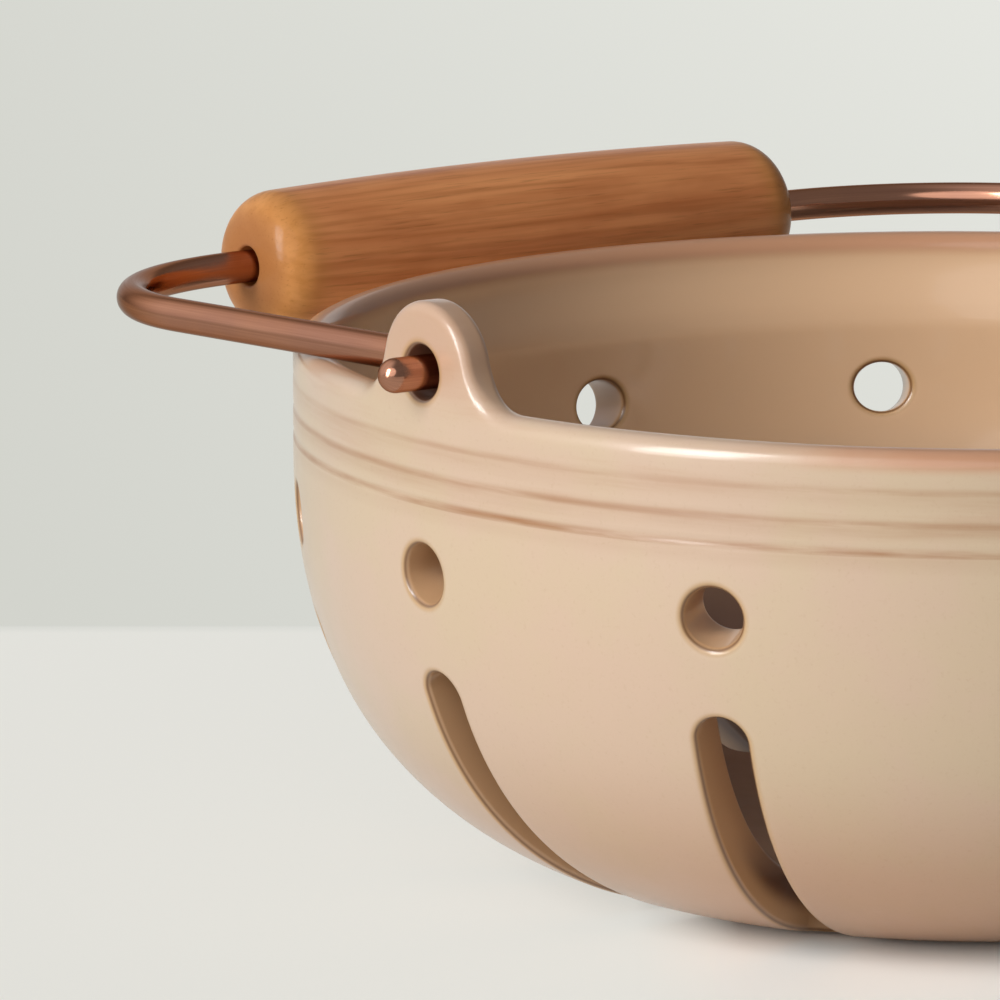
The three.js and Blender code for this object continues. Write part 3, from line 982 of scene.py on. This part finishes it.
def wood_tree():
    add = start_shader(wood)
    place = add("ShaderNodeTexCoord").outputs["Object"]
    to_grip = [-value * MM for value in grip_centre]
    centred = add("ShaderNodeMapping", {"Vector": place, "Location": to_grip})

    # Everything in wood is drawn out along the stick: the slow wander of its rings, blotches of stain,
    # streaks 1.4 mm wide and some 50 mm long, and pores, which are 0.1 mm wide, drawn at 0.5 mm to show.
    noise = {}
    for name, stretch, size in (
        ("wander", 0.12, 18),
        ("blotch", 0.35, 9),
        ("streak", 0.03, 1.4),
        ("pore", 0.05, 0.5),
    ):
        drawn_out = add("ShaderNodeMapping", {"Vector": centred, "Scale": (stretch, 1.0, 1.0)})
        noise[name] = add("ShaderNodeTexNoise", {"Vector": drawn_out, "Scale": per_mm(size), "Detail": 3.0})

    # Yearly rings: the distance from the pith, wandering a little, picks each ring's tone.
    across = add("ShaderNodeMapping", {"Vector": centred, "Scale": (0.0, 1.0, 1.0)})
    pith = [value * MM for value in PITH]
    from_pith = add("ShaderNodeVectorMath", {0: across, 1: pith}, operation="DISTANCE")
    wander = add("ShaderNodeMath", {0: noise["wander"], 1: RING_WANDER}, operation="MULTIPLY")
    ring_place = add(
        "ShaderNodeMath",
        {0: from_pith.outputs["Value"], 1: per_mm(RING_SPACING), 2: wander},
        operation="MULTIPLY_ADD",
    )
    rings = add("ShaderNodeTexNoise", {"W": ring_place, "Scale": 1.0, "Detail": 2.0}, noise_dimensions="1D")

    # The stain was rubbed thin over the rounded shoulders, which shine golden, and took evenly on the ends.
    along = add("ShaderNodeSeparateXYZ", {"Vector": centred})
    from_middle = add("ShaderNodeMath", {0: along.outputs["X"]}, operation="ABSOLUTE")
    half = GRIP_LENGTH / 2
    shoulder = half - GRIP_END_ROUND
    share = {}
    for name, value, none_at, full_at, most in (
        ("ring", rings, 0.35, 0.68, 0.7),
        ("blotch", noise["blotch"], 0.45, 0.7, 0.35),
        ("streak", noise["streak"], 0.42, 0.72, 0.45),
        ("pore", noise["pore"], 0.56, 0.76, 0.3),
        ("shoulder", from_middle, (shoulder - SHOULDER_FADE) * MM, (half - GRIP_END_ROUND / 2) * MM, 0.6),
        ("end", from_middle, (half - GRIP_END_ROUND / 3) * MM, half * MM, 0.85),
    ):
        reach = {"Value": value, "From Min": none_at, "From Max": full_at, "To Max": most}
        share[name] = add("ShaderNodeMapRange", reach, interpolation_type="SMOOTHSTEP")
    colour = linear("E49A62")
    for name, tone in (
        ("ring", "C87A48"),
        ("blotch", "B06438"),
        ("streak", "A85E30"),
        ("shoulder", "BE8644"),
        ("end", "A0683C"),
        ("pore", "7A4721"),
    ):
        tones = {"Factor_Float": share[name], "A_Color": colour, "B_Color": linear(tone)}
        colour = add("ShaderNodeMix", tones, data_type="RGBA")
    grain = add("ShaderNodeBump", {"Height": noise["pore"], "Strength": 0.15, "Distance": -0.05 * MM})
    rough = add("ShaderNodeMapRange", {"Value": share["pore"], "To Min": 0.4, "To Max": 0.52})
    shader = add(
        "ShaderNodeBsdfPrincipled",
        {
            "Base Color": colour,
            "Roughness": rough,
            "IOR": 1.5,
            "Specular IOR Level": 0.06,
            "Coat Weight": 0.2,
            "Coat Roughness": 0.12,
            "Normal": grain,
        },
    )
    add("ShaderNodeOutputMaterial", {"Surface": shader})


wood_tree()
print("wood:", len(wood.node_tree.nodes), "nodes")
grip.data.materials.append(wood)

# %% [markdown]
# ## Each piece on its body
# The CAD model knows what moves: the bowl stands, the bail swings in the lugs, and the grip turns on the
# wire. Each new piece takes the place of one CAD node and rides on its body.

# %% Ride on the bodies
for piece, body, node, slot in (
    (bowl, "bowl", "bowl", "glaze"),
    (wire, "bail", "bail_wire", "copper_wire"),
    (grip, "grip", "wood_grip", "grip_wood"),
):
    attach(piece, body)
    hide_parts(node)
    print(piece.name, "rides on", body, "and stands for", node)

# %% [markdown]
# ## Floor and backdrop
# The photograph shows a pale table in front of a slightly cooler backdrop. A real backdrop wall would hide
# the bowl from behind, so one large plane does both jobs. Round the bowl it is a matt laminate that takes
# the bowl's shadow, and from a line behind the bowl it shows the backdrop's tone, brighter towards the right.
# On the window's side and in front the table mostly glows in its own even tone, which paints light over the
# bowl's shadow there; close round the foot its added brightness is left out, a ring of painted shade.

# %% Floor and backdrop
CAMERA_FORWARD = Vector((0.57874, 0.79507, -0.18121)).normalized()
BACKDROP_BEGINS = 215.0
BACKDROP_BLEND = 4.0
BACKDROP_SLANT = 7.5
BACKDROP_DIM_AT = -1100.0
BACKDROP_BRIGHT_AT = 2000.0
TABLE_GLOW = 0.75
WINDOW_SIDE = (-42.0, -60.0)
FRONT_OF_TABLE = (-95.0, -165.0)
FLOOR_LIFT = (0.12, 0.23)
# painted shade round the bowl's foot: the table's lift is left out to this radius and fades back by the next
GAP_CLOSED_TO = 60.0
GAP_OPEN_FROM = 80.0
FLOOR_HALF = 4000.0
table_top = bpy.data.materials.new("laminate_pale_and_matt")


def table_tree():
    add = start_shader(table_top)
    place = add("ShaderNodeTexCoord").outputs["Object"]
    level = Vector((CAMERA_FORWARD.x, CAMERA_FORWARD.y, 0)).normalized()
    across = Vector((level.y, -level.x, 0))
    behind = add("ShaderNodeVectorMath", {0: place, 1: level}, operation="DOT_PRODUCT")
    brighter = level + BACKDROP_SLANT * across
    rising = add("ShaderNodeVectorMath", {0: place, 1: brighter}, operation="DOT_PRODUCT")
    rightwards = add("ShaderNodeVectorMath", {0: place, 1: across}, operation="DOT_PRODUCT")
    from_axis = add("ShaderNodeVectorMath", {0: place}, operation="LENGTH")
    share = {}
    for name, value, starts_at, ends_at, least, most in (
        ("backdrop", behind, BACKDROP_BEGINS - BACKDROP_BLEND, BACKDROP_BEGINS + BACKDROP_BLEND, 0, 1),
        ("bright", rising, BACKDROP_DIM_AT, BACKDROP_BRIGHT_AT, 0, 1),
        ("lift", behind, -BACKDROP_BEGINS, BACKDROP_BEGINS, *FLOOR_LIFT),
        ("window_side", rightwards, *WINDOW_SIDE, 0, TABLE_GLOW),
        ("front", behind, *FRONT_OF_TABLE, 0, TABLE_GLOW),
        ("painted_shade_gap", from_axis, GAP_CLOSED_TO, GAP_OPEN_FROM, 0, 1),
    ):
        reach = {"Value": value.outputs["Value"], "From Min": starts_at * MM, "From Max": ends_at * MM}
        share[name] = add("ShaderNodeMapRange", {**reach, "To Min": least, "To Max": most})
    own_tone = linear("E7E8E2")
    for name, tone in (("bright", "D3D4CD"), ("backdrop", "E3E2DB")):
        tones = {"Factor_Float": share[name], "A_Color": linear(tone), "B_Color": own_tone}
        own_tone = add("ShaderNodeMix", tones, data_type="RGBA")

    # The backdrop is a lit wall in the photograph, so it shows its own tone to the eye and to reflections.
    # On the window's side and in front so does the table, mostly: painted light over the bowl's shadow.
    sight = add("ShaderNodeLightPath").outputs
    seen = add(
        "ShaderNodeMath", {0: sight["Is Camera Ray"], 1: sight["Is Glossy Ray"]}, operation="MAXIMUM"
    )
    glowing = share["backdrop"]
    for side in ("window_side", "front"):
        glowing = add("ShaderNodeMath", {0: glowing, 1: share[side]}, operation="MAXIMUM")
    shown = add("ShaderNodeMath", {0: glowing, 1: seen}, operation="MULTIPLY")
    plain = add("ShaderNodeEmission", {"Color": own_tone, "Strength": 1.0})
    lift = share["lift"]
    # painted shade: the lift is left out close round the foot, darkening a ring under the bowl
    for dimmed_by in (sight["Is Camera Ray"], share["painted_shade_gap"]):
        lift = add("ShaderNodeMath", {0: lift, 1: dimmed_by}, operation="MULTIPLY")
    laminate = add(
        "ShaderNodeBsdfPrincipled",
        {
            "Base Color": linear("F4F6F3"),
            "Roughness": 0.7,
            "Specular IOR Level": 0.2,
            "Emission Color": linear("FFFEFA"),
            "Emission Strength": lift,
        },
    )
    both = add("ShaderNodeMixShader", {0: shown, 1: laminate, 2: plain})
    add("ShaderNodeOutputMaterial", {"Surface": both})


floor_corners = [(-1, -1, 0), (1, -1, 0), (1, 1, 0), (-1, 1, 0)]
floor = mesh_piece("floor", np.array(floor_corners) * FLOOR_HALF, [(0, 1, 2, 3)])
floor.data.materials.append(table_top)
table_tree()
print("floor:", 2 * FLOOR_HALF / 1000, "m square")

# %% [markdown]
# ## Light
# A tall window at the left draws the long highlight on the rim and the thin streak down the lug's edge. One
# area lamp could stand for it, but its light would fade across the table, so three suns, one above the other,
# cover the window's height, each as wide as the window looks from the bowl. A broad, weaker sun nearer the
# camera lifts the shaded side. The world is the rest of the room, dim and even. The wire and the glaze's
# edges mirror it brighter behind on the left, and low behind the bowl they mirror the pale backdrop.

# %% Light
ROOM_LIGHT = 0.10
ROOM_SEEN = 0.8
ROOM_MIRRORED = (0.25, 1.0)
BACKDROP_MIRRORED = 0.75
BRIGHT_SIDE = Vector((-0.5, 0.6, 0.6)).normalized()

world = bpy.data.worlds.new("studio")
bpy.context.scene.world = world


def room_tree():
    """A dim, even room. Reflections see it bright behind on the left, and the backdrop behind the bowl."""
    add = start_shader(world)
    sight = add("ShaderNodeLightPath").outputs
    outward = add("ShaderNodeTexCoord").outputs["Generated"]
    mirrored = ROOM_MIRRORED[0]
    for side, none_at, full_at, shown in (
        (BRIGHT_SIDE, 0.5, 0.95, ROOM_MIRRORED[1]),
        (CAMERA_FORWARD * Vector((1, 1, 0)), 0.86, 0.93, BACKDROP_MIRRORED),
    ):
        facing = add("ShaderNodeVectorMath", {0: outward, 1: side}, operation="DOT_PRODUCT")
        reach = {"Value": facing.outputs["Value"], "From Min": none_at, "From Max": full_at}
        near = add("ShaderNodeMapRange", reach, interpolation_type="SMOOTHSTEP")
        levels = {"Factor_Float": near, "A_Float": mirrored, "B_Float": shown}
        mirrored = add("ShaderNodeMix", levels, data_type="FLOAT")
    strength = ROOM_LIGHT
    for rays, shown in (("Is Glossy Ray", mirrored), ("Is Camera Ray", ROOM_SEEN)):
        levels = {"Factor_Float": sight[rays], "A_Float": strength, "B_Float": shown}
        strength = add("ShaderNodeMix", levels, data_type="FLOAT")
    sky = add("ShaderNodeBackground", {"Color": linear("FFFFFF"), "Strength": strength})
    add("ShaderNodeOutputWorld", {"Surface": sky})


room_tree()

# Each light by its compass turn, its rise and its width in degrees, and its strength.
for name, turn, rise, width, strength in (
    ("window_top", 182, 36, 20, 0.95),
    ("window_middle", 182, 22, 20, 0.95),
    ("window_bottom", 182, 9, 20, 0.65),
    ("broad_fill", 208, 30, 55, 0.88),
):
    lamp = bpy.data.lights.new(name, "SUN")
    lamp.energy = strength
    lamp.angle = math.radians(width)
    shines_from = Vector((1, 0, 0))
    shines_from.rotate(Matrix.Rotation(math.radians(-rise), 3, "Y"))
    shines_from.rotate(Matrix.Rotation(math.radians(turn), 3, "Z"))
    lamp_object = bpy.data.objects.new(name, lamp)
    lamp_object.rotation_euler = shines_from.to_track_quat("Z", "Y").to_euler()
    bpy.context.scene.collection.objects.link(lamp_object)
    print(name, "shines from", [round(v, 2) for v in shines_from])

# %% [markdown]
# ## Camera
# The picture was taken through a long lens from a little above the rim, so the near and the far rim are
# almost equally wide. The camera's place and lens were fitted to the rim's curve, the lug and the vents.

# %% Camera
CAMERA_PLACE = (-1.0206, -1.2603, 0.3644)
CAMERA_LENS = 335.8
CAMERA_SENSOR = 36.0

camera_data = bpy.data.cameras.new("camera")
camera_data.lens = CAMERA_LENS
camera_data.sensor_width = CAMERA_SENSOR
camera = bpy.data.objects.new("camera", camera_data)
camera.location = CAMERA_PLACE
camera.rotation_euler = CAMERA_FORWARD.to_track_quat("-Z", "Y").to_euler()
bpy.context.scene.collection.objects.link(camera)
bpy.context.scene.camera = camera
bpy.context.scene.view_settings.view_transform = "Standard"
print("camera looks along", [round(v, 3) for v in CAMERA_FORWARD])
